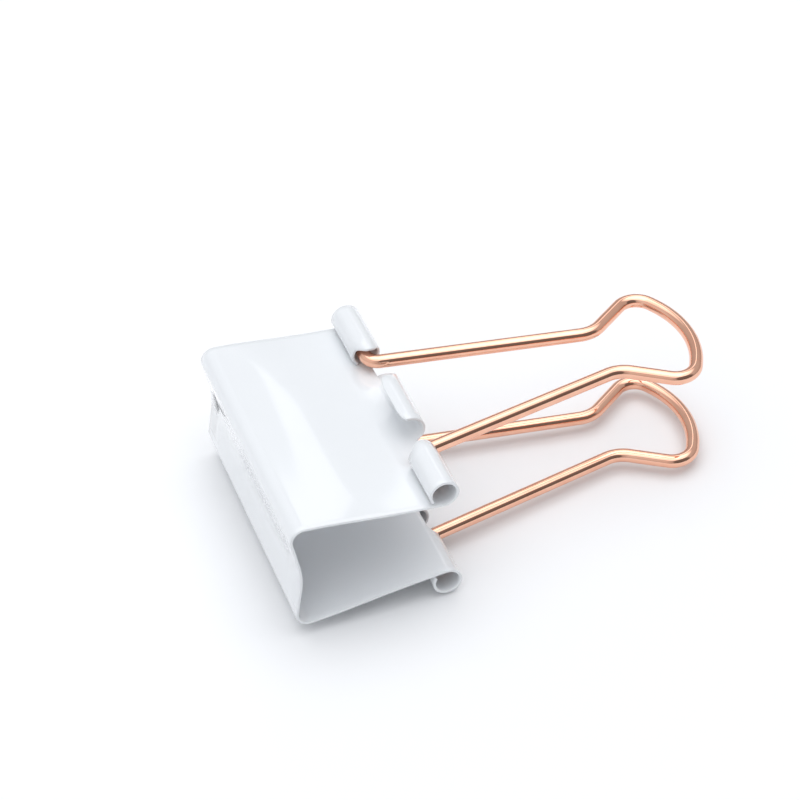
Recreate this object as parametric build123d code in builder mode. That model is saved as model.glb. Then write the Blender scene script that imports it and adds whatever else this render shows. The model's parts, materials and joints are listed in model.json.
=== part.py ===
from build123d import *
from math import acos, asin, atan2, cos, degrees, hypot, radians, sin, tan
import os

# Binder clip: one strip of painted spring steel folded into a clamp, and two wire handles.
# The strip is stored the way it stands while it grips a stack: jaws apart, handles forward.
# It bends where it is folded, so the back panel, the two folds and the two jaws are nodes
# of their own. Millimetres, +Z up, X from the back panel to the mouth, Y across the clip.
# The origin is the centre of the box round the clip, on the surface that it lies on.

# strip
clip_width = 32.0
sheet = 0.32
# folds between the back panel and the jaws
fold_inner_radius = 1.28
fold_height = 5.25          # fold axis above or below the middle of the clip
panel_lean = 10.0           # how far the back panel leans in from each fold, degrees
waist_radius = 10.0         # the panel's inward bow, on its mouth side
# jaw plates, in two long shallow arcs
root_slope = 4.5            # towards the middle, where the jaw leaves its fold, degrees
steepest_slope = 8.8
lip_slope = 4.8             # where the jaw turns up into its tubes and lip
root_run = 5.0
front_run = 10.4
# tubes rolled from the front corners of each jaw
tube_length = 7.3
tube_outer_radius = 1.65
seam_gap = 0.15             # between the rolled edge and the jaw plate
# lip curled between the tubes, and the flat tabs between lip and tubes
lip_half_width = 5.3
lip_outer_radius = 1.84
lip_turn = 205.0
lip_corner = 1.1
tab_length = 0.6
# wire handles, in their own plane: reach from the tube's axis, half of the width across
wire_diameter = 1.55
wire_in_tube = 3.2          # straight run of each wire end along the tube
elbow_radius = 1.5
neck_reach, neck_half = 25.0, 3.5
neck_radius = 3.5
shoulder_reach, shoulder_half = 32.0, 8.1
shoulder_radius = 2.0
nose_slope = 30.0
nose_radius = 11.5
wire_end_chamfer = 0.2
rim_gap = 0.1               # between a handle's leg and the rim of its tube

half_width = clip_width / 2
wire_radius = wire_diameter / 2
tube_inner_end = half_width - tube_length
tube_turn = 360 - degrees(acos(1 - (sheet + seam_gap) / tube_outer_radius))
fold_outer_radius = fold_inner_radius + sheet
fold_turn = 90 + root_slope + panel_lean


def toward(angle, length=1.0):
    """A vector in the side view, measured from the mouth direction."""
    return Vector(length * cos(radians(angle)), length * sin(radians(angle)))


def shallow_arc(start_slope, end_slope, radius):
    """From one end of a jaw's arc to the other, for slopes towards the middle."""
    half_turn = radians(abs(end_slope - start_slope) / 2)
    return toward(-(start_slope + end_slope) / 2, 2 * radius * sin(half_turn))


# Side view of the upper half, with the middle of the clip at height 0.
fold_axis = Vector(fold_outer_radius, fold_height)
panel_top = fold_axis + toward(180 + panel_lean, fold_inner_radius)
panel_drop = panel_top.Y - waist_radius * sin(radians(panel_lean))
panel_straight = panel_drop / cos(radians(panel_lean))
jaw_root = fold_axis + toward(90 - root_slope, fold_inner_radius)
root_turn = steepest_slope - root_slope
front_turn = steepest_slope - lip_slope
root_radius = root_run / radians(root_turn)
front_radius = front_run / radians(front_turn)
jaw_middle = jaw_root + shallow_arc(root_slope, steepest_slope, root_radius)
jaw_front = jaw_middle + shallow_arc(steepest_slope, lip_slope, front_radius)
tube_axis = jaw_front + toward(90 - lip_slope, tube_outer_radius)
lip_axis = jaw_front + toward(90 - lip_slope, lip_outer_radius)

# The leg of a handle runs straight to its neck, and passes the rim of the tube's bore with a gap.
bore_radius = tube_outer_radius - sheet
rim_ahead = neck_reach - bore_radius
rim_beside = tube_inner_end - rim_gap - neck_half
leg_angle = degrees(atan2(rim_beside, rim_ahead) - asin(wire_radius / hypot(rim_beside, rim_ahead)))
elbow_half = neck_half + neck_reach * tan(radians(leg_angle))
elbow_run = elbow_radius * tan(radians((90 - leg_angle) / 2))
wire_end = elbow_half + elbow_run + wire_in_tube
nose_vertex = shoulder_reach + shoulder_half * tan(radians(nose_slope))
nose_reach = nose_vertex - nose_radius * (1 / cos(radians(nose_slope)) - 1)

# The upper handle lies on the gripped stack, level with the jaw's inner face.
# The lower one lies on what the clip's lower lip stands on.
half_height = lip_axis.Y + lip_outer_radius
upper_droop = degrees(asin((tube_outer_radius - wire_radius) / nose_reach))
lower_droop = degrees(asin((half_height - tube_axis.Y - wire_radius) / nose_reach))

# The clip's place: its box is centred on X and stands on Z = 0.
clip_length = tube_axis.X + nose_reach * cos(radians(upper_droop)) + wire_radius
middle = Vector(-clip_length / 2, 0, half_height)
side_view = Plane(origin=middle, x_dir=(1, 0, 0), z_dir=(0, -1, 0))
mid_height = Plane.XY.offset(half_height)


def side_view_at(y):
    """The side view moved across the clip. Its normal is -Y, so extrusions run towards the middle."""
    return side_view.offset(-y)


def in_clip(point):
    """Where a point of the upper side view lies in the clip."""
    return middle + Vector(point.X, 0, point.Y)


def lip_free_corner():
    """The tangent plane at the corner of the lip's free edge, X inwards and Y back along the lip."""
    outward = toward(lip_turn - 90 - lip_slope)
    corner = in_clip(lip_axis + outward * lip_outer_radius) + Vector(0, lip_half_width, 0)
    return Plane(corner, x_dir=(0, -1, 0), z_dir=(outward.X, 0, outward.Y))


def fold():
    """One quarter-round fold of the strip, about the axis that its jaw swings on."""
    with BuildPart() as bend:
        with BuildSketch(side_view):
            with BuildLine():
                inner = CenterArc(fold_axis, fold_inner_radius, 90 - root_slope, fold_turn)
                offset(inner, amount=sheet, side=Side.RIGHT)
            make_face()
        extrude(amount=half_width, both=True)
    return bend


def jaw():
    """A jaw's plate with its rolled tubes, curled lip and flat tabs, made as one half and mirrored."""
    with BuildPart() as plate:
        with BuildSketch(side_view_at(half_width)):
            with BuildLine():
                root = JernArc(jaw_root, toward(-root_slope), root_radius, -root_turn)
                JernArc(root @ 1, root % 1, front_radius, front_turn)
                offset(amount=sheet, side=Side.LEFT)
            make_face()
        extrude(amount=half_width)

        with BuildSketch(side_view_at(half_width)):
            with BuildLine():
                JernArc(jaw_front, toward(-lip_slope), tube_outer_radius, tube_turn)
                offset(amount=sheet, side=Side.LEFT)
            make_face()
        extrude(amount=tube_length)

        with BuildSketch(side_view_at(tube_inner_end)):
            with BuildLine():
                Line(jaw_front, jaw_front + toward(-lip_slope, tab_length))
                offset(amount=sheet, side=Side.LEFT)
            make_face()
        extrude(amount=tube_inner_end)

        with BuildPart(mode=Mode.PRIVATE) as lip:
            with BuildSketch(side_view_at(lip_half_width)):
                with BuildLine():
                    JernArc(jaw_front, toward(-lip_slope), lip_outer_radius, lip_turn)
                    offset(amount=sheet, side=Side.LEFT)
                make_face()
            extrude(amount=lip_half_width)
            with BuildSketch(lip_free_corner()):
                with BuildLine():
                    rounding = CenterArc((lip_corner, lip_corner), lip_corner, 180, 90)
                    Polyline(rounding @ 0, (0, 0), rounding @ 1)
                make_face()
            extrude(amount=lip_corner, both=True, mode=Mode.SUBTRACT)
        add(lip.part)
        mirror(about=Plane.XZ)
    return plate


def handle(axis_point, droop):
    """A wire bent to a loop, with both ends turned out into the tubes of its jaw."""
    lie = Plane(axis_point).rotated((0, droop, 0))
    leg = [(0, wire_end), (0, elbow_half), (neck_reach, neck_half), (shoulder_reach, shoulder_half)]
    path = leg + [(nose_vertex, 0)] + [(u, -v) for u, v in reversed(leg)]
    side_radii = [elbow_radius, neck_radius, shoulder_radius]
    with BuildPart() as wire:
        with BuildLine(lie) as bent:
            FilletPolyline(*path, radius=side_radii + [nose_radius] + side_radii[::-1])
        with BuildSketch(Plane(origin=bent.line @ 0, z_dir=bent.line % 0)):
            Circle(wire_radius)
        sweep()
        ends = wire.faces().filter_by(Axis.Y).edges()
        chamfer(ends, length=wire_end_chamfer)
    return wire


os.makedirs("parts", exist_ok=True)

with BuildPart() as back_panel:
    with BuildSketch(side_view):
        with BuildLine():
            top = Line(panel_top, panel_top + toward(panel_lean - 90, panel_straight))
            bow = JernArc(top @ 1, top % 1, waist_radius, -2 * panel_lean)
            Line(bow @ 1, bow @ 1 + toward(-90 - panel_lean, panel_straight))
            offset(amount=sheet, side=Side.RIGHT)
        make_face()
    extrude(amount=half_width, both=True)

upper_bend = fold()
upper_jaw = jaw()

with BuildPart() as lower_bend:
    mirror(upper_bend.part, about=mid_height)

with BuildPart() as lower_jaw:
    mirror(upper_jaw.part, about=mid_height)

upper_handle = handle(in_clip(tube_axis), upper_droop)
lower_handle = handle(in_clip(Vector(tube_axis.X, -tube_axis.Y)), lower_droop)

for name, built in {
    "back_panel": back_panel,
    "upper_bend": upper_bend,
    "lower_bend": lower_bend,
    "upper_jaw": upper_jaw,
    "lower_jaw": lower_jaw,
    "upper_handle": upper_handle,
    "lower_handle": lower_handle,
}.items():
    built.part.label = name
    export_step(built.part, f"parts/{name}.step")
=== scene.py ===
import json
from math import acos, asin, atan, atan2, cos, hypot, pi, radians, sin, sqrt, tan

import bmesh
import bpy
from bpy.props import FloatProperty, FloatVectorProperty, PointerProperty
from mathutils import Matrix, Vector


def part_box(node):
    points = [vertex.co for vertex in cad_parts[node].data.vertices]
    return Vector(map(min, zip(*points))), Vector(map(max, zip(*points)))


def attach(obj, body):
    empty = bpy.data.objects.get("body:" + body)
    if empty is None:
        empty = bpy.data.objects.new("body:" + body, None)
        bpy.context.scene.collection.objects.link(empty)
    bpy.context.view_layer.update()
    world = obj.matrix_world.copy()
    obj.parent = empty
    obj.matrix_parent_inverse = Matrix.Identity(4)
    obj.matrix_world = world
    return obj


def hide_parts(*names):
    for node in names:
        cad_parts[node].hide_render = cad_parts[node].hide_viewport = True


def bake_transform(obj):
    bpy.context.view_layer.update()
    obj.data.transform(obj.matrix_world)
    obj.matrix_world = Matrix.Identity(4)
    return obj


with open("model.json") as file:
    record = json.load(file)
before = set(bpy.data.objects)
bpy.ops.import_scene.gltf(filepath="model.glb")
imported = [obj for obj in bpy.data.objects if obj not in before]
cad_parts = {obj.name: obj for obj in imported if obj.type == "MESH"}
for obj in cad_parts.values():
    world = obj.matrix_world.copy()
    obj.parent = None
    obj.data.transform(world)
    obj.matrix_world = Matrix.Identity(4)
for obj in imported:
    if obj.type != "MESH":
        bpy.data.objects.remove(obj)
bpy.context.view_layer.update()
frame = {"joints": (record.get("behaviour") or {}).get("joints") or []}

bl_info = {
    "name": "Binder clip",
    "version": (1, 0, 0),
    "blender": (4, 5, 0),
    "location": "View3D > Sidebar > Binder clip",
    "description": "A medium binder clip: a painted spring-steel strip and two rose-gold wire handles",
    "category": "Add Mesh",
}

MM = 0.001
SAME_PLACE = 2e-6               # how near two places are the same
CLOSE = 0.02 * MM               # how near a bent place is to where it should be
ROUGHLY = 0.1 * MM
SPARE = 0.5 * MM                # strip drawn past a seam, and cut off again
SEAM_SIDE, SEAM_DEPTH = 2 * MM, 1.5 * MM    # the strip round a seam that its cut goes through
SQUARE_ON = 0.99                # cosine of a face that looks straight along the strip
SMOOTH_UP_TO = radians(50)      # sharper edges than this stay crisp
WIRE_SIDES = 64
WIRE_STEP = radians(2.5)
CUT_END_RIM, CUT_END_SINKS = 0.18 * MM, 0.02 * MM

# How finely the strip is bent
FOLD_STEPS, ROOT_STEPS, FRONT_STEPS, NOTCH_STEPS, WAIST_STEPS = 52, 10, 16, 4, 24
TUBE_STEP = radians(5)
ACROSS_STEP = 0.9 * MM          # between the lines that run along a jaw

# Where the crown rises, falls and ends along a jaw, and how far the tubes and the lip have turned
CROWN_RISES, CROWN_FALLS, CROWN_ENDS = (0, 0.47), (0.2, 1.05), (0.86, 1.0)
CROWN_LIFT = 1.3                # makes up for the fall, which begins before the rise is over
BRIM_GROWS = radians(105), radians(172)
BRIM_SHRINKS = radians(188), radians(245)
LONGEST_BRIM = 1.3 * MM
SEAM_OPENS_FROM = radians(255)
SEAM_CLOSES, SEAM_OPENS = 0.75, 1.0         # shares of the twist, at a tube's inner and outer end
SLANT = radians(22), radians(165)
LIP_CORNER_TURN = radians(20)
STRAIGHT_CORNER, SLANTED_CORNER = 2.2 * MM, 2.5 * MM

TABLE_SIZE = 12.0
CAMERA_PLACE = Vector((-77.998, -212.436, 206.545)) * MM
CAMERA_AHEAD = Vector((0.236195, 0.721360, -0.651039)).normalized()
CAMERA_ROLL = radians(2.8)
CAMERA_LENS, CAMERA_FILM = 121.8, 36


def joint_place(name):
    """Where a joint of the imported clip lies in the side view."""
    joint = next(j for j in frame["joints"] if j["name"] == name)
    x, _, z = joint["pos_m"]
    return Vector((x, 0, z))


UPPER_FOLD = joint_place("upper_jaw_flex")
LOWER_FOLD = joint_place("lower_jaw_flex")
TUBE_AXIS = joint_place("upper_handle_fold")
MID_HEIGHT = (UPPER_FOLD.z + LOWER_FOLD.z) / 2
HALF_WIDTH = (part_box("upper_jaw")[1].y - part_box("upper_jaw")[0].y) / 2
NOSE_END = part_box("upper_handle")[1].x


# ---------------------------------------------------------------- settings


def length(name, description, default):
    """A size in millimetres, shown as a length."""
    return FloatProperty(name=name, description=description, default=default * MM, min=0,
                         precision=5, subtype="DISTANCE", unit="LENGTH")


def angle(name, description, default):
    """An angle given in degrees."""
    return FloatProperty(name=name, description=description, default=radians(default),
                         subtype="ANGLE", unit="ROTATION")


def share(name, description, default):
    """A share from none to all."""
    return FloatProperty(name=name, description=description, default=default,
                         min=0, max=1, subtype="FACTOR")


def colour(name, description, default):
    """A colour without alpha."""
    return FloatVectorProperty(name=name, description=description, default=default, size=3,
                               min=0, max=1, subtype="COLOR")


class BinderClipSteel(bpy.types.PropertyGroup):
    """The bent strip."""

    sheet: length("Sheet", "Thickness of the steel with its paint", 0.32)
    edge_round: length("Edge rounding", "How far the paint rounds the cut edges", 0.055)
    fold_radius: length("Fold radius", "Inside radius of the two folds", 1.28)
    panel_lean: angle("Panel lean", "Lean of the back panel beside each fold", 10)
    waist_radius: length("Waist radius", "Inward bow of the back panel", 10)
    panel_lap: length("Panel lap", "Stretch of the back panel made with each jaw", 0.7)
    root_slope: angle("Root slope", "Slope of a jaw where it leaves its fold", 4.5)
    steepest_slope: angle("Steepest slope", "Steepest slope of a jaw", 8.8)
    lip_slope: angle("Lip slope", "Slope of a jaw where it turns up", 4.8)
    root_run: length("Root run", "Length of a jaw's first arc", 5)
    front_run: length("Front run", "Length of a jaw's second arc", 10.4)
    crown: length("Crown", "How far the middle of a jaw bulges outwards", 0.2)


class BinderClipFront(bpy.types.PropertyGroup):
    """The rolled tubes, the curled lip and the notches between them."""

    notch_depth: length("Notch depth", "Flat left past the front of the jaw", 0.6)
    notch_round: length("Notch rounding", "Radius at the bottom of a notch", 1.0)
    tube_radius: length("Tube radius", "Outside radius of a tube", 1.65)
    far_tube_end: length("Far tube end", "Where the far tube's inner end lies across the clip", 8.8)
    near_tube_end: length("Near tube end", "Where the near tube's inner end lies across the clip", 9.4)
    far_brim: length("Far brim", "How far the top of the far tube's inner end reaches further in", 1.1)
    near_brim: length("Near brim", "How far the top of the near tube's inner end reaches further in", 0.8)
    seam_gap: length("Seam gap", "Gap between the rolled edge and the jaw", 0.15)
    seam_twist: angle("Seam twist", "How much wider the seam stands at a tube's outer end", 7)
    lip_radius: length("Lip radius", "Outside radius of the lip", 1.84)
    lip_turn: angle("Lip turn", "How far the lip curls over", 207)
    lip_foot: length("Lip foot", "Half of the lip's width at its foot", 6.3)
    lip_straight_side: length("Straight side", "Where the lip's straight side lies across the clip", 5.4)
    lip_slanted_side: length("Slanted side", "Where the lip's slanted side ends up across the clip", 2.4)


class BinderClipWire(bpy.types.PropertyGroup):
    """The two handles."""

    thickness: length("Thickness", "Diameter of the wire", 1.55)
    in_tube: length("In tube", "Straight run of each end in its tube", 3.2)
    elbow_radius: length("Elbow radius", "Bend where the wire leaves its tube", 1.5)
    elbow_half: length("Elbow half width", "Half width across the elbows", 8.0545)
    neck_reach: length("Neck reach", "From the tube's axis to the neck", 25)
    neck_half: length("Neck half width", "Half width across the neck", 3.5)
    neck_radius: length("Neck radius", "Bend of the neck", 3.5)
    shoulder_reach: length("Shoulder reach", "From the tube's axis to the shoulders", 31.885)
    shoulder_half: length("Shoulder half width", "Half width across the shoulders", 8.3)
    shoulder_radius: length("Shoulder radius", "Bend of the shoulders", 2.4)
    nose_slope: angle("Nose slope", "How far the sides of the nose lean back", 30)
    nose_radius: length("Nose radius", "Bend of the nose", 11.5)
    end_chamfer: length("End chamfer", "Bevel on the cut ends", 0.2)
    side_slip: length("Side slip", "How far the handle has slipped along its tubes", 0.7)


class BinderClipLooks(bpy.types.PropertyGroup):
    """Colours and finish."""

    paint: colour("Paint", "Gloss white enamel", (0.81, 0.83, 0.85))
    paint_shade: colour("Paint shade", "Where the enamel lies a little thinner", (0.80, 0.82, 0.84))
    # Darker and bluer than the paint: thinner enamel over the cut edges, with painted shade of the edges
    # added in.
    edge_paint_and_shade: colour("Edge paint", "Enamel drawn thin over the cut edges", (0.62, 0.64, 0.70))
    orange_peel: share("Orange peel", "Waviness of the enamel", 0.012)
    plate: colour("Rose gold", "Bright plating of the wire", (0.93, 0.54, 0.39))
    plate_deep: colour("Deep rose gold", "Where the plating lies thicker or has tarnished",
                       (0.88, 0.47, 0.33))
    drawn_lines: share("Drawn lines", "Depth of the fine lines along the wire", 0.004)
    floor: colour("Floor", "Pale table top", (0.90, 0.905, 0.915))


# ---------------------------------------------------------------- modelling helpers


def start_piece(name, primitive, **sizes):
    """Adds a primitive at the origin and leaves it in edit mode."""
    bpy.ops.object.select_all(action="DESELECT")
    primitive(location=(0, 0, 0), **sizes)
    piece = bpy.context.object
    piece.name = name
    piece.data.name = name
    bpy.ops.object.mode_set(mode="EDIT")
    bpy.ops.mesh.select_mode(type="VERT")
    return piece


def pick(test):
    """Selects the vertices whose place passes the test, and the edges and faces between them."""
    shape = bmesh.from_edit_mesh(bpy.context.edit_object.data)
    for vertex in shape.verts:
        vertex.select = test(vertex.co)
    shape.select_flush_mode()
    bmesh.update_edit_mesh(bpy.context.edit_object.data)


def finish_piece(piece):
    """Back to object mode, shaded smooth over everything but the cut edges."""
    bpy.ops.object.mode_set(mode="OBJECT")
    bpy.ops.object.shade_smooth_by_angle(angle=SMOOTH_UP_TO)
    return piece


class Strip:
    """The middle of a strip of sheet, in edit mode, bent one length after another in the side view.

    Radii are those of the face towards the mouth, on the right of travel. Left turns are positive.
    The row at the leading end stays selected.
    """

    def __init__(self, place, heading, near, far, half):
        self.place, self.heading, self.half = place.copy(), heading, half
        self.near, self.far = near, far

    def ahead(self):
        return Vector((cos(self.heading), 0, sin(self.heading)))

    def left(self):
        return Vector((-sin(self.heading), 0, cos(self.heading)))

    def branch(self, near, far):
        """Takes up the leading row again between two places across the clip."""
        here = self.place
        pick(lambda co: hypot(co.x - here.x, co.z - here.z) < SAME_PLACE
             and near - SAME_PLACE < co.y < far + SAME_PLACE)
        return Strip(here, self.heading, near, far, self.half)

    def run(self, reach):
        move = self.ahead() * reach
        bpy.ops.mesh.extrude_region_move(TRANSFORM_OT_translate={"value": move})
        self.place += move

    def bend(self, radius, turn, steps=1):
        centre = self.place + self.left() * (radius - self.half if turn > 0 else -radius - self.half)
        bpy.ops.mesh.spin(steps=steps, angle=turn, center=centre, axis=(0, 1, 0))
        self.place = centre + Matrix.Rotation(-turn, 3, "Y") @ (self.place - centre)
        self.heading += turn

    def cut(self, near, far):
        """Moves the two ends of the leading row to new places across the clip."""
        grow = (far - near) / (self.far - self.near)
        bpy.ops.transform.resize(value=(1, grow, 1), center_override=(0, self.near, 0))
        bpy.ops.transform.translate(value=(0, near - self.near, 0))
        self.near, self.far = near, far

    def curl(self, radius, stations, outline):
        """Bends the strip from station to station of its turn, cut to an outline."""
        for before, after in zip(stations, stations[1:]):
            self.bend(radius, after - before)
            self.cut(*outline(after))


def strip_start(name, place, heading, stations, side=1):
    """A first short length of strip: a plane, cut across at the stations, laid behind the start.

    The steel lies on the left of the face that is followed, or on its right for side -1.
    """
    steel = bpy.context.scene.binder_clip_steel
    lap = steel.panel_lap + SPARE
    piece = start_piece(name, bpy.ops.mesh.primitive_plane_add, size=1)
    bpy.ops.mesh.select_all(action="SELECT")
    bpy.ops.transform.resize(value=(lap, 2 * HALF_WIDTH, 1), center_override=(0, 0, 0))
    bpy.ops.transform.translate(value=(-lap / 2, 0, 0))
    for station in stations:
        bpy.ops.mesh.select_all(action="SELECT")
        bpy.ops.mesh.bisect(plane_co=(0, station, 0), plane_no=(0, 1, 0))
    bpy.ops.object.mode_set(mode="OBJECT")
    strip = Strip(place, heading, -HALF_WIDTH, HALF_WIDTH, side * steel.sheet / 2)
    strip.place += strip.left() * strip.half
    piece.data.transform(Matrix.Translation(strip.place) @ Matrix.Rotation(-heading, 4, "Y"))
    bpy.ops.object.mode_set(mode="EDIT")
    return piece, strip.branch(-HALF_WIDTH, HALF_WIDTH)


def give_thickness(piece, seams):
    """Turns the drawn sheet into painted steel: a wall, with paint drawn round its cut edges.

    The spare strip beyond each seam, where the strip goes on as another piece, is cut off square.
    """
    steel = bpy.context.scene.binder_clip_steel
    bpy.ops.mesh.select_all(action="SELECT")
    bpy.ops.mesh.inset(thickness=steel.edge_round, depth=0, use_boundary=True, use_even_offset=True)
    for place, outwards in seams:
        pick(lambda co: (co - place).length < HALF_WIDTH + SEAM_SIDE
             and abs(co.x - place.x) < SEAM_DEPTH)
        bpy.ops.mesh.bisect(plane_co=place, plane_no=outwards, clear_outer=True)
    bpy.ops.object.mode_set(mode="OBJECT")

    shape = bmesh.new()
    shape.from_mesh(piece.data)
    thick = [v.index for v in shape.verts if not v.is_boundary or on_a_seam(v.co, seams, steel)]
    shape.free()
    full = piece.vertex_groups.new(name="full_thickness")
    full.add(thick, 1.0, "REPLACE")
    wall = piece.modifiers.new("Wall", "SOLIDIFY")
    wall.thickness = steel.sheet
    wall.offset = 0
    wall.use_even_offset = True
    wall.use_rim = True
    # The rims take the second material: the darker edge enamel, which carries painted shade.
    wall.material_offset_rim = 1
    wall.vertex_group = full.name
    wall.thickness_vertex_group = 1 - 2 * steel.edge_round / steel.sheet
    bpy.ops.object.modifier_apply(modifier=wall.name)
    piece.vertex_groups.clear()
    for face in piece.data.polygons:
        if is_seam_face(face, seams):
            face.material_index = 0
    bpy.ops.object.mode_set(mode="EDIT")
    bpy.ops.mesh.select_all(action="DESELECT")
    return finish_piece(piece)


def on_a_seam(co, seams, steel):
    """Whether a place in the middle of the sheet lies on a seam, away from the strip's long edges."""
    return abs(co.y) < HALF_WIDTH - SAME_PLACE and any(
        abs((co - place).dot(outwards)) < SAME_PLACE
        and hypot(co.x - place.x, co.z - place.z) < steel.sheet for place, outwards in seams)


def is_seam_face(face, seams):
    """Whether a face closes the wall at a seam, where it is enamel and not a cut edge."""
    return any(abs((face.center - place).dot(outwards)) < SAME_PLACE
               and abs(face.normal.dot(outwards)) > SQUARE_ON
               and (face.center - place).length < HALF_WIDTH + MM for place, outwards in seams)


def corner_stations(start, reach):
    """Stations that crowd at the start, for a quarter-round corner whose far side is tangent to travel."""
    return [start + reach * part for part in (0.1, 0.25, 0.45, 0.7, 1)]


def late_corner_stations(start, reach):
    """Stations that crowd at the end, for a rounded free corner."""
    return [start + reach * part for part in (0.25, 0.5, 0.7, 0.86, 0.97)]


def smoothstep(low, high, value):
    """From 0 to 1 as the value goes from low to high, easing in and out."""
    t = min(max((value - low) / (high - low), 0), 1)
    return t * t * (3 - 2 * t)


def evenly(start, end, step):
    """Stations from just after the start to the end, no further apart than the step."""
    count = max(1, round((end - start) / step))
    return [start + (end - start) * i / count for i in range(1, count + 1)]


# ---------------------------------------------------------------- finishes


def set_ramp(node, low, high, new_low, new_high):
    """Sets a Map Range node to take one range to another."""
    numbers = {"From Min": low, "From Max": high, "To Min": new_low, "To Max": new_high}
    for name, number in numbers.items():
        node.inputs[name].default_value = number


class Nodes:
    """Adds and joins the nodes of one material."""

    def __init__(self, name):
        self.material = bpy.data.materials.new(name)
        self.material.use_nodes = True
        self.tree = self.material.node_tree
        self.tree.nodes.clear()
        self.shader = self.add("ShaderNodeBsdfPrincipled")
        output = self.add("ShaderNodeOutputMaterial")
        self.join(self.shader.outputs["BSDF"], output.inputs["Surface"])

    def add(self, kind, **settings):
        node = self.tree.nodes.new(kind)
        for key, value in settings.items():
            setattr(node, key, value)
        return node

    def join(self, source, target):
        self.tree.links.new(source, target)

    def noise(self, vector, scale, detail=2.0, roughness=0.5):
        node = self.add("ShaderNodeTexNoise")
        node.inputs["Scale"].default_value = scale
        node.inputs["Detail"].default_value = detail
        node.inputs["Roughness"].default_value = roughness
        self.join(vector, node.inputs["Vector"])
        return node.outputs["Fac"]

    def spread(self, value, low, high, new_low, new_high):
        node = self.add("ShaderNodeMapRange")
        set_ramp(node, low, high, new_low, new_high)
        self.join(value, node.inputs["Value"])
        return node.outputs["Result"]

    def blend(self, share_of_second, first, second):
        node = self.add("ShaderNodeMix", data_type="RGBA")
        self.join(share_of_second, node.inputs["Factor"])
        node.inputs[6].default_value = (*first, 1)
        node.inputs[7].default_value = (*second, 1)
        return node.outputs[2]

    def bump(self, height, strength, distance):
        node = self.add("ShaderNodeBump")
        node.inputs["Strength"].default_value = strength
        node.inputs["Distance"].default_value = distance
        self.join(height, node.inputs["Height"])
        return node.outputs["Normal"]


def enamel(name, main, shade, gloss):
    """Gloss white enamel, baked on: a little uneven in thickness, with a fine orange peel."""
    looks = bpy.context.scene.binder_clip_looks
    nodes = Nodes(name)
    place = nodes.add("ShaderNodeTexCoord").outputs["Object"]
    clouds = nodes.noise(place, 160, detail=3)
    nodes.join(nodes.blend(nodes.spread(clouds, 0.35, 0.7, 0, 1), main, shade),
               nodes.shader.inputs["Base Color"])
    smudges = nodes.noise(place, 420, detail=4, roughness=0.6)
    nodes.join(nodes.spread(smudges, 0.3, 0.75, gloss, gloss + 0.09), nodes.shader.inputs["Roughness"])
    peel = nodes.noise(place, 900, detail=2)
    nodes.join(nodes.bump(peel, looks.orange_peel, 0.05 * MM), nodes.shader.inputs["Normal"])
    waves = nodes.noise(place, 260, detail=1)
    nodes.join(nodes.bump(waves, looks.orange_peel, 0.08 * MM), nodes.shader.inputs["Coat Normal"])
    nodes.shader.inputs["Specular IOR Level"].default_value = 0.25
    nodes.shader.inputs["Coat Weight"].default_value = 1.0
    nodes.shader.inputs["Coat Roughness"].default_value = 0.05
    nodes.shader.inputs["Coat IOR"].default_value = 1.5
    return nodes.material


def rose_gold():
    """Bright rose-gold plate over drawn wire, with fine lines along its length."""
    looks = bpy.context.scene.binder_clip_looks
    nodes = Nodes("rose_gold_plate")
    rod = nodes.add("ShaderNodeAttribute", attribute_name="rod").outputs["Vector"]
    stretched = nodes.add("ShaderNodeMapping")
    stretched.inputs["Scale"].default_value = (1, 1, 0.008)
    nodes.join(rod, stretched.inputs["Vector"])
    lines = nodes.noise(stretched.outputs["Vector"], 9, detail=4, roughness=0.6)
    clouds = nodes.noise(rod, 0.35, detail=3)
    nodes.join(nodes.blend(nodes.spread(clouds, 0.35, 0.75, 0, 1), looks.plate, looks.plate_deep),
               nodes.shader.inputs["Base Color"])
    nodes.join(nodes.spread(lines, 0.25, 0.75, 0.05, 0.09), nodes.shader.inputs["Roughness"])
    nodes.join(nodes.bump(lines, looks.drawn_lines, 0.02 * MM), nodes.shader.inputs["Normal"])
    nodes.shader.inputs["Metallic"].default_value = 1.0
    return nodes.material


def pale_table():
    """A matt, pale table top, hardly mottled."""
    looks = bpy.context.scene.binder_clip_looks
    nodes = Nodes("pale_table")
    place = nodes.add("ShaderNodeTexCoord").outputs["Object"]
    clouds = nodes.noise(place, 9, detail=2)
    second = tuple(0.985 * c for c in looks.floor)
    nodes.join(nodes.blend(clouds, looks.floor, second), nodes.shader.inputs["Base Color"])
    nodes.shader.inputs["Roughness"].default_value = 0.9
    nodes.shader.inputs["Specular IOR Level"].default_value = 0.1
    return nodes.material


def paint_strip(piece):
    """Enamel on the faces, and on the rims a darker, bluer enamel: the cut edges' thinner paint, with
    painted shade of the edges added in.
    """
    looks = bpy.context.scene.binder_clip_looks
    for name, main, shade, gloss in (("white_enamel", looks.paint, looks.paint_shade, 0.16),
                                     ("white_enamel_edge_painted_shade", looks.edge_paint_and_shade, looks.paint_shade, 0.24)):
        found = bpy.data.materials.get(name) or enamel(name, main, shade, gloss)
        piece.data.materials.append(found)


def mirrored_copy(piece, name):
    """The same part for the lower side, with its own mesh."""
    bpy.ops.object.select_all(action="DESELECT")
    piece.select_set(True)
    bpy.context.view_layer.objects.active = piece
    bpy.ops.object.duplicate(linked=False)
    copy = bpy.context.object
    copy.name = name
    copy.data.name = name
    bpy.ops.object.mode_set(mode="EDIT")
    bpy.ops.mesh.select_all(action="SELECT")
    bpy.ops.transform.resize(value=(1, 1, -1), center_override=(0, 0, MID_HEIGHT))
    bpy.ops.mesh.flip_normals()
    bpy.ops.mesh.select_all(action="DESELECT")
    bpy.ops.object.mode_set(mode="OBJECT")
    return copy


# ---------------------------------------------------------------- the strip


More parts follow.
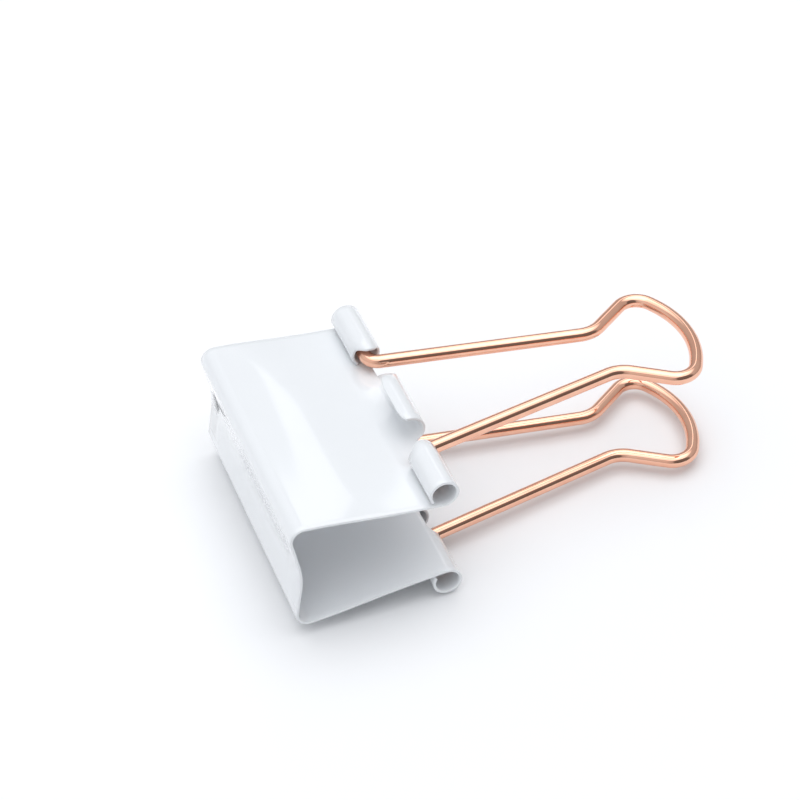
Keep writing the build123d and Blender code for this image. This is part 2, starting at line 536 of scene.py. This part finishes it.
def panel_top(steel):
    """The panel end of the upper fold, on the mouth side, and the heading from the panel into the fold."""
    reach = Vector((-cos(steel.panel_lean), 0, -sin(steel.panel_lean)))
    return UPPER_FOLD + reach * steel.fold_radius, pi / 2 + steel.panel_lean


class BINDERCLIP_OT_back_panel(bpy.types.Operator):
    """Bend the back panel between the two folds, bowed in at its waist"""

    bl_idname = "binder_clip.back_panel"
    bl_label = "Back panel"

    def execute(self, context):
        steel = context.scene.binder_clip_steel
        top, heading = panel_top(steel)
        down = heading + pi
        ahead = Vector((cos(down), 0, sin(down)))
        start = top + ahead * steel.panel_lap
        drop = start.z - MID_HEIGHT
        straight = (drop - steel.waist_radius * sin(steel.panel_lean)) / cos(steel.panel_lean)
        if straight <= 0:
            raise RuntimeError("the back panel's waist is too large for its height")
        lap = steel.panel_lap
        piece, strip = strip_start("back_panel_sheet", start + ahead * lap, down,
                                   [k * HALF_WIDTH / 4 for k in range(-3, 4)], -1)
        strip.run(straight - lap)
        strip.bend(steel.waist_radius, -2 * steel.panel_lean, WAIST_STEPS)
        strip.run(straight)
        end = strip.place.copy()
        if abs(end.z - (2 * MID_HEIGHT - start.z)) > ROUGHLY:
            raise RuntimeError("the back panel doesn't reach the lower fold")
        strip.run(SPARE)
        give_thickness(piece, [(start, -ahead), (end, strip.ahead())])
        paint_strip(piece)
        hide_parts("back_panel")
        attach(piece, "back")
        return {"FINISHED"}


class BINDERCLIP_OT_jaws(bpy.types.Operator):
    """Bend the upper fold and jaw, roll its tubes, curl its lip, and mirror it for the lower side"""

    bl_idname = "binder_clip.jaws"
    bl_label = "Folds and jaws"

    def execute(self, context):
        steel, front = context.scene.binder_clip_steel, context.scene.binder_clip_front
        top, heading = panel_top(steel)
        far_foot = front.far_tube_end - front.notch_round
        near_foot = front.near_tube_end - front.notch_round
        stations = [-near_foot, -front.lip_foot, front.lip_foot, far_foot]
        # no more of them beside the notches
        stations += [k * ACROSS_STEP for k in range(-17, 18) if abs(k) < 6 or abs(k) > 10]
        piece, strip = strip_start("upper_sheet", top, heading, stations)
        strip.bend(steel.fold_radius, -(heading + steel.root_slope), FOLD_STEPS)
        jaw_root = strip.place.copy()
        root_turn = steel.steepest_slope - steel.root_slope
        front_turn = steel.steepest_slope - steel.lip_slope
        strip.bend(steel.root_run / root_turn, -root_turn, ROOT_STEPS)
        strip.bend(steel.front_run / front_turn, front_turn, FRONT_STEPS)
        landing = strip.place + strip.left() * (front.tube_radius - strip.half)
        if (landing - TUBE_AXIS).length > CLOSE:
            raise RuntimeError("the jaw doesn't bring its tubes to the handle's joint")
        self.crown_plate(piece, jaw_root, strip.place, steel)
        strip = strip.branch(-HALF_WIDTH, HALF_WIDTH)

        foot = front.notch_depth / front.tube_radius
        strip.bend(front.tube_radius, foot, NOTCH_STEPS)
        self.roll_tube(strip.branch(far_foot, HALF_WIDTH), front, foot, 1)
        self.roll_tube(strip.branch(-HALF_WIDTH, -near_foot), front, foot, -1)
        self.curl_lip(strip.branch(-front.lip_foot, front.lip_foot), front)
        self.open_seams(piece, steel, front)
        into_fold = Vector((cos(heading), 0, sin(heading)))
        give_thickness(piece, [(top - into_fold * steel.panel_lap, -into_fold)])
        paint_strip(piece)
        lower = mirrored_copy(piece, "lower_sheet")

        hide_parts("upper_bend", "upper_jaw")
        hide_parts("lower_bend", "lower_jaw")
        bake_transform(piece)
        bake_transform(lower)
        return {"FINISHED"}

    def crown_plate(self, piece, root, front_end, steel):
        """Bulges the middle of the plate outwards by a hair, as pressed spring steel does."""
        shape = bmesh.from_edit_mesh(piece.data)
        for vertex in shape.verts:
            along = (vertex.co.x - root.x) / (front_end.x - root.x)
            if 0 < along < 1:
                across = abs(vertex.co.y) / HALF_WIDTH
                rise = smoothstep(*CROWN_RISES, along)
                fall = (1 - smoothstep(*CROWN_FALLS, along)) * CROWN_LIFT
                end = 1 - smoothstep(*CROWN_ENDS, along)
                vertex.co.z += steel.crown * rise * fall * end * (1 - across ** 4)
        bmesh.update_edit_mesh(piece.data)

    def roll_tube(self, strip, front, foot, side):
        """Rolls one tube; its inner end is rounded at the notch and reaches further in at the top."""
        steel = bpy.context.scene.binder_clip_steel
        tube_end, brim = ((front.far_tube_end, front.far_brim) if side > 0
                          else (front.near_tube_end, front.near_brim))
        notch_turn = front.notch_round / front.tube_radius

        def outline(turn):
            rounded = front.notch_round * still_to_round((turn - foot) / notch_turn)
            top = smoothstep(*BRIM_GROWS, turn) - smoothstep(*BRIM_SHRINKS, turn)
            end = side * (tube_end - rounded - brim * top)
            return (end, HALF_WIDTH) if side > 0 else (-HALF_WIDTH, end)

        stations = [foot] + corner_stations(foot, notch_turn)
        stations += evenly(stations[-1], tube_turn(steel, front), TUBE_STEP)
        strip.curl(front.tube_radius, stations, outline)

    def curl_lip(self, strip, front):
        """Curls the lip over: one side straight, the other slanted, both free corners rounded."""
        foot = front.notch_depth / front.lip_radius
        notch_turn = 0.8 * front.notch_round / front.lip_radius
        corner_start = front.lip_turn - LIP_CORNER_TURN

        def outline(turn):
            foot_round = still_to_round((turn - foot) / notch_turn)
            corner_round = still_to_round(1 - max(0, (turn - corner_start) / LIP_CORNER_TURN))
            near = -front.lip_straight_side - (front.lip_foot - front.lip_straight_side) * foot_round
            far = front.lip_foot + (front.lip_slanted_side - front.lip_foot) * smoothstep(*SLANT, turn)
            return near + STRAIGHT_CORNER * corner_round, far - SLANTED_CORNER * corner_round

        stations = [foot] + corner_stations(foot, notch_turn)
        stations += evenly(stations[-1], corner_start, TUBE_STEP)
        stations += late_corner_stations(corner_start, LIP_CORNER_TURN)
        strip.curl(front.lip_radius, stations, outline)

    def open_seams(self, piece, steel, front):
        """Lets each tube's rolled edge lie closer to the jaw inwards and stand wider at the outer end."""
        shape = bmesh.from_edit_mesh(piece.data)
        full_turn = tube_turn(steel, front)
        middle_radius = front.tube_radius - steel.sheet / 2
        for vertex in shape.verts:
            out = vertex.co - Vector((TUBE_AXIS.x, vertex.co.y, TUBE_AXIS.z))
            tube_end = front.far_tube_end if vertex.co.y > 0 else front.near_tube_end
            if abs(vertex.co.y) < tube_end - LONGEST_BRIM or abs(out.length - middle_radius) > CLOSE:
                continue
            turn = (atan2(out.x, -out.z) + steel.lip_slope) % (2 * pi)
            if SEAM_OPENS_FROM < turn < full_turn + 0.01:
                rolled = (turn - SEAM_OPENS_FROM) / (full_turn - SEAM_OPENS_FROM)
                across = min(max((abs(vertex.co.y) - tube_end) / (HALF_WIDTH - tube_end), 0), 1)
                twist = front.seam_twist * rolled * (SEAM_CLOSES - (SEAM_CLOSES + SEAM_OPENS) * across)
                here = TUBE_AXIS + Vector((0, vertex.co.y, 0))
                vertex.co = here + Matrix.Rotation(-twist, 3, "Y") @ out
        bmesh.update_edit_mesh(piece.data)


def tube_turn(steel, front):
    """How far a tube is rolled, from the jaw round to its seam."""
    return 2 * pi - acos(1 - (steel.sheet + front.seam_gap) / front.tube_radius)


def still_to_round(gone):
    """What a quarter-round corner still cuts off, as a share of its radius, when so much of it is gone."""
    left = 1 - min(gone, 1)
    return 1 - sqrt(max(0, 1 - left ** 2))


# ---------------------------------------------------------------- the handles


class Rod:
    """A round wire in edit mode, bent flat one length after another. Left turns are positive."""

    def __init__(self, place, heading, radius):
        self.place, self.heading, self.radius, self.reach = place.copy(), heading, radius, 0.0

    def ahead(self):
        return Vector((cos(self.heading), sin(self.heading), 0))

    def mark(self):
        """Notes how far along the wire the leading ring lies, for the pattern on its surface."""
        shape = bmesh.from_edit_mesh(bpy.context.edit_object.data)
        layer = shape.verts.layers.float_vector["rod"]
        for vertex in shape.verts:
            if vertex.select:
                vertex[layer].z = self.reach / self.radius

    def run(self, reach, steps=1):
        for _ in range(steps):
            move = self.ahead() * reach / steps
            bpy.ops.mesh.extrude_region_move(TRANSFORM_OT_translate={"value": move})
            self.place += move
            self.reach += reach / steps
            self.mark()

    def bend(self, radius, turn, steps):
        side = 1 if turn > 0 else -1
        centre = self.place + Vector((-sin(self.heading), cos(self.heading), 0)) * radius * side
        for _ in range(steps):
            bpy.ops.mesh.spin(steps=1, angle=-turn / steps, center=centre, axis=(0, 0, 1))
            self.reach += radius * abs(turn) / steps
            self.mark()
        self.place = centre + Matrix.Rotation(turn, 3, "Z") @ (self.place - centre)
        self.heading += turn

    def widen(self, radius, reach):
        """A chamfer: a short run that changes the thickness."""
        self.run(reach)
        grow = radius / self.radius
        bpy.ops.transform.resize(value=(grow, grow, grow), center_override=self.place)
        self.radius = radius


def rod_start(name, place, heading, radius):
    """A ring across the wire's first end, with each vertex's place round the wire noted on it."""
    piece = start_piece(name, bpy.ops.mesh.primitive_circle_add, radius=radius, vertices=WIRE_SIDES)
    shape = bmesh.from_edit_mesh(piece.data)
    layer = shape.verts.layers.float_vector.new("rod")
    for vertex in shape.verts:
        vertex[layer] = vertex.co.normalized()
    bmesh.update_edit_mesh(piece.data)
    bpy.ops.object.mode_set(mode="OBJECT")
    upright = Matrix.Rotation(pi / 2, 4, "Y")
    piece.data.transform(Matrix.Translation(place) @ Matrix.Rotation(heading, 4, "Z") @ upright)
    bpy.ops.object.mode_set(mode="EDIT")
    bpy.ops.mesh.select_all(action="SELECT")
    return piece, Rod(place, heading, radius)


class BINDERCLIP_OT_handles(bpy.types.Operator):
    """Bend the upper wire handle from end to end, and mirror it for the lower side"""

    bl_idname = "binder_clip.handles"
    bl_label = "Wire handles"

    def execute(self, context):
        wire = context.scene.binder_clip_wire
        radius = wire.thickness / 2
        nose_vertex = wire.shoulder_reach + wire.shoulder_half * tan(wire.nose_slope)
        corners = [Vector((0, wire.elbow_half, 0)), Vector((wire.neck_reach, wire.neck_half, 0)),
                   Vector((wire.shoulder_reach, wire.shoulder_half, 0)), Vector((nose_vertex, 0, 0))]
        corners += [Vector((c.x, -c.y, 0)) for c in reversed(corners[:3])]
        radii = [wire.elbow_radius, wire.neck_radius, wire.shoulder_radius, wire.nose_radius]
        radii += radii[2::-1]
        leg = corners[1] - corners[0]
        leg_angle = atan2(-leg.y, leg.x)
        end_half = wire.elbow_half + wire.elbow_radius * tan((pi / 2 - leg_angle) / 2) + wire.in_tube
        points = [Vector((0, end_half, 0))] + corners + [Vector((0, -end_half, 0))]

        piece, rod = rod_start("upper_wire", points[0], -pi / 2, radius - wire.end_chamfer)
        rod.widen(radius, wire.end_chamfer)
        self.bend_through(rod, points, radii, wire)
        rod.widen(radius - wire.end_chamfer, wire.end_chamfer)
        self.close_ends(piece)
        self.lay_down(piece, wire, nose_vertex)
        finish_piece(piece)
        piece.data.materials.append(rose_gold())
        lower = mirrored_copy(piece, "lower_wire")
        self.droop_lower(lower)
        for made, name in ((piece, "upper_handle"), (lower, "lower_handle")):
            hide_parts(name)
            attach(made, name)
        return {"FINISHED"}

    def bend_through(self, rod, points, radii, wire):
        """Straight runs between the corners, and a bend at each that takes its share of both runs."""
        used = wire.end_chamfer
        for before, corner, after, radius in zip(points, points[1:], points[2:], radii):
            coming, going = corner - before, after - corner
            turn = atan2(coming.cross(going).z, coming.dot(going))
            setback = radius * tan(abs(turn) / 2)
            rod.run(coming.length - used - setback, 2)
            rod.bend(radius, turn, max(8, round(abs(turn) / WIRE_STEP)))
            used = setback
        rod.run((points[-1] - points[-2]).length - used - wire.end_chamfer)

    def close_ends(self, piece):
        """Caps both cut ends with a slightly sunken centre, as a wire cutter leaves them."""
        bpy.ops.mesh.select_all(action="DESELECT")
        shape = bmesh.from_edit_mesh(piece.data)
        for edge in shape.edges:
            edge.select = edge.is_boundary
        bmesh.update_edit_mesh(piece.data)
        bpy.ops.mesh.edge_face_add()
        bpy.ops.mesh.select_all(action="DESELECT")
        shape = bmesh.from_edit_mesh(piece.data)
        for face in shape.faces:
            if len(face.verts) > 4:
                face.select = True
        bmesh.update_edit_mesh(piece.data)
        bpy.ops.mesh.inset(thickness=CUT_END_RIM, depth=-CUT_END_SINKS)
        bpy.ops.mesh.poke()
        bpy.ops.mesh.select_all(action="SELECT")
        bpy.ops.mesh.normals_make_consistent(inside=False)

    def lay_down(self, piece, wire, nose_vertex):
        """Moves the flat handle to its tubes: slipped a little sideways there, its nose resting lower."""
        bpy.ops.object.mode_set(mode="OBJECT")
        nose_reach = nose_vertex - wire.nose_radius * (1 / cos(wire.nose_slope) - 1)
        front = bpy.context.scene.binder_clip_front
        droop = asin((front.tube_radius - wire.thickness / 2) / nose_reach)
        nose = Matrix.Translation((nose_reach, 0, 0))
        swing = nose @ Matrix.Rotation(atan(wire.side_slip / nose_reach), 4, "Z") @ nose.inverted()
        piece.data.transform(Matrix.Translation(TUBE_AXIS) @ Matrix.Rotation(droop, 4, "Y") @ swing)
        bpy.ops.object.mode_set(mode="EDIT")

    def droop_lower(self, lower):
        """Tips the lower handle towards the table, by its height in the tubes over its length.

        The mirrored copy starts with its nose tipped up, so the nose still ends 0.9 mm above the table.
        """
        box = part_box("lower_handle")
        low = min(v.co.z for v in lower.data.vertices)
        axis = Vector((TUBE_AXIS.x, 0, 2 * MID_HEIGHT - TUBE_AXIS.z))
        nose = NOSE_END - TUBE_AXIS.x
        lift = low - box[0].z
        tube = Matrix.Translation(axis)
        lower.data.transform(tube @ Matrix.Rotation(asin(lift / nose), 4, "Y") @ tube.inverted())


# ---------------------------------------------------------------- the stage


def soft_light(name, place, aim, size, power):
    """A square studio light, aimed at a place."""
    data = bpy.data.lights.new(name, "AREA")
    data.shape = "SQUARE"
    data.size = size
    data.energy = power
    light = bpy.data.objects.new(name, data)
    bpy.context.scene.collection.objects.link(light)
    light.location = place
    light.rotation_euler = (Vector(aim) - Vector(place)).to_track_quat("-Z", "Y").to_euler()


class BINDERCLIP_OT_stage(bpy.types.Operator):
    """Lay the pale table, hang the soft lights and set the camera"""

    bl_idname = "binder_clip.stage"
    bl_label = "Table, lights and camera"

    def execute(self, context):
        scene = context.scene
        scene.view_settings.view_transform = "Standard"
        scene.view_settings.look = "None"

        bpy.ops.object.select_all(action="DESELECT")
        bpy.ops.mesh.primitive_plane_add(size=TABLE_SIZE, location=(0, 0, 0))
        floor = bpy.context.object
        floor.name = floor.data.name = "table_top"
        floor.data.materials.append(pale_table())

        self.hang_air(scene)
        soft_light("overhead", (0.06, 0.10, 0.80), (0, 0, 0), 0.6, 0.9)

        camera = bpy.data.objects.new("camera", bpy.data.cameras.new("camera"))
        scene.collection.objects.link(camera)
        camera.data.lens, camera.data.sensor_width = CAMERA_LENS, CAMERA_FILM
        camera.data.clip_start = 0.01
        level = CAMERA_AHEAD.cross(Vector((0, 0, 1))).normalized()
        down = CAMERA_AHEAD.cross(level)
        right = level * cos(CAMERA_ROLL) + down * sin(CAMERA_ROLL)
        lower = down * cos(CAMERA_ROLL) - level * sin(CAMERA_ROLL)
        turned = Matrix((right, -lower, -CAMERA_AHEAD)).transposed().to_4x4()
        camera.matrix_world = Matrix.Translation(CAMERA_PLACE) @ turned
        scene.camera = camera
        return {"FINISHED"}

    def hang_air(self, scene):
        """The studio's own glow, by direction: a bright ceiling, dimmer walls, a window, a dark corner."""
        world = bpy.data.worlds.new("studio_air")
        world.use_nodes = True
        tree = world.node_tree
        backdrop = tree.nodes["Background"]
        direction = tree.nodes.new("ShaderNodeTexCoord").outputs["Generated"]

        def toward(aim, low, high, dim, bright):
            """From dim to bright as the direction nears the aim, between two cosines."""
            dot = tree.nodes.new("ShaderNodeVectorMath")
            dot.operation = "DOT_PRODUCT"
            dot.inputs[1].default_value = Vector(aim).normalized()
            tree.links.new(direction, dot.inputs[0])
            ramp = tree.nodes.new("ShaderNodeMapRange")
            ramp.interpolation_type = "SMOOTHSTEP"
            set_ramp(ramp, low, high, dim, bright)
            tree.links.new(dot.outputs["Value"], ramp.inputs["Value"])
            return ramp.outputs["Result"]

        def join(operation, *parts):
            total = parts[0]
            for part in parts[1:]:
                node = tree.nodes.new("ShaderNodeMath")
                node.operation = operation
                tree.links.new(total, node.inputs[0])
                tree.links.new(part, node.inputs[1])
                total = node.outputs["Value"]
            return total

        def corner(azimuth, elevation):
            """The direction of a corner of the window, in degrees from straight across the clip."""
            around, up = radians(azimuth), radians(elevation)
            return Vector((sin(around) * cos(up), cos(around) * cos(up), sin(up)))

        def inside(first, second):
            """All that lies on the window's side of the line between two of its corners."""
            return toward(corner(*second).cross(corner(*first)), -0.001, 0.008, 0, 1)

        overhead = (0, 0, 1)
        walls = toward(overhead, 0.0, 0.62, 0.47, 0.62)
        ceiling = toward(overhead, 0.70, 0.84, 0, 1.10)
        left_wall = toward((-0.95, -0.2, 0.25), 0.5, 1.0, 0, 0.30)
        left_edge = inside((21.2, 60), (21.2, 20))
        slanted_edge = inside((25.7, 33.9), (28.3, 36.1))
        sill = inside((21.2, 34.8), (25.7, 34.8))
        right_edge = inside((31.2, 20), (31.2, 60))
        below_ceiling = toward(overhead, 0.70, 0.84, 1.25, 0)
        this_side = toward((0.6, 0.5, 0.6), 0.80, 0.92, 0, 1)
        window = join("MULTIPLY", left_edge, slanted_edge, sill, right_edge, below_ceiling, this_side)
        light = join("ADD", walls, ceiling, left_wall, window)
        dark_corner = toward((0.32, -0.86, 0.36), 0.80, 0.90, 1, 0.32)
        tree.links.new(join("MULTIPLY", light, dark_corner), backdrop.inputs["Strength"])
        backdrop.inputs["Color"].default_value = (0.96, 0.975, 1.0, 1)
        scene.world = world


class BINDERCLIP_PT_sidebar(bpy.types.Panel):
    """Lists the clip's pieces, sizes and finishes"""

    bl_idname = "BINDERCLIP_PT_sidebar"
    bl_label = "Binder clip"
    bl_space_type = "VIEW_3D"
    bl_region_type = "UI"
    bl_category = "Binder clip"

    def draw(self, context):
        layout = self.layout
        for operator in OPERATORS:
            layout.operator(operator.bl_idname)
        for name in SETTINGS:
            box = layout.box()
            group = getattr(context.scene, name)
            for key in group.bl_rna.properties.keys():
                if key not in ("rna_type", "name"):
                    box.prop(group, key)


SETTINGS = {
    "binder_clip_steel": BinderClipSteel,
    "binder_clip_front": BinderClipFront,
    "binder_clip_wire": BinderClipWire,
    "binder_clip_looks": BinderClipLooks,
}
OPERATORS = (BINDERCLIP_OT_back_panel, BINDERCLIP_OT_jaws, BINDERCLIP_OT_handles, BINDERCLIP_OT_stage)


def register():
    for group in (*SETTINGS.values(), *OPERATORS, BINDERCLIP_PT_sidebar):
        bpy.utils.register_class(group)
    for name, group in SETTINGS.items():
        setattr(bpy.types.Scene, name, PointerProperty(type=group))


def unregister():
    for name in SETTINGS:
        delattr(bpy.types.Scene, name)
    for group in reversed((*SETTINGS.values(), *OPERATORS, BINDERCLIP_PT_sidebar)):
        bpy.utils.unregister_class(group)


def main():
    register()
    bpy.ops.binder_clip.back_panel()
    bpy.ops.binder_clip.jaws()
    bpy.ops.binder_clip.handles()
    bpy.ops.binder_clip.stage()
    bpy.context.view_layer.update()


if __name__ == "__main__":
    main()
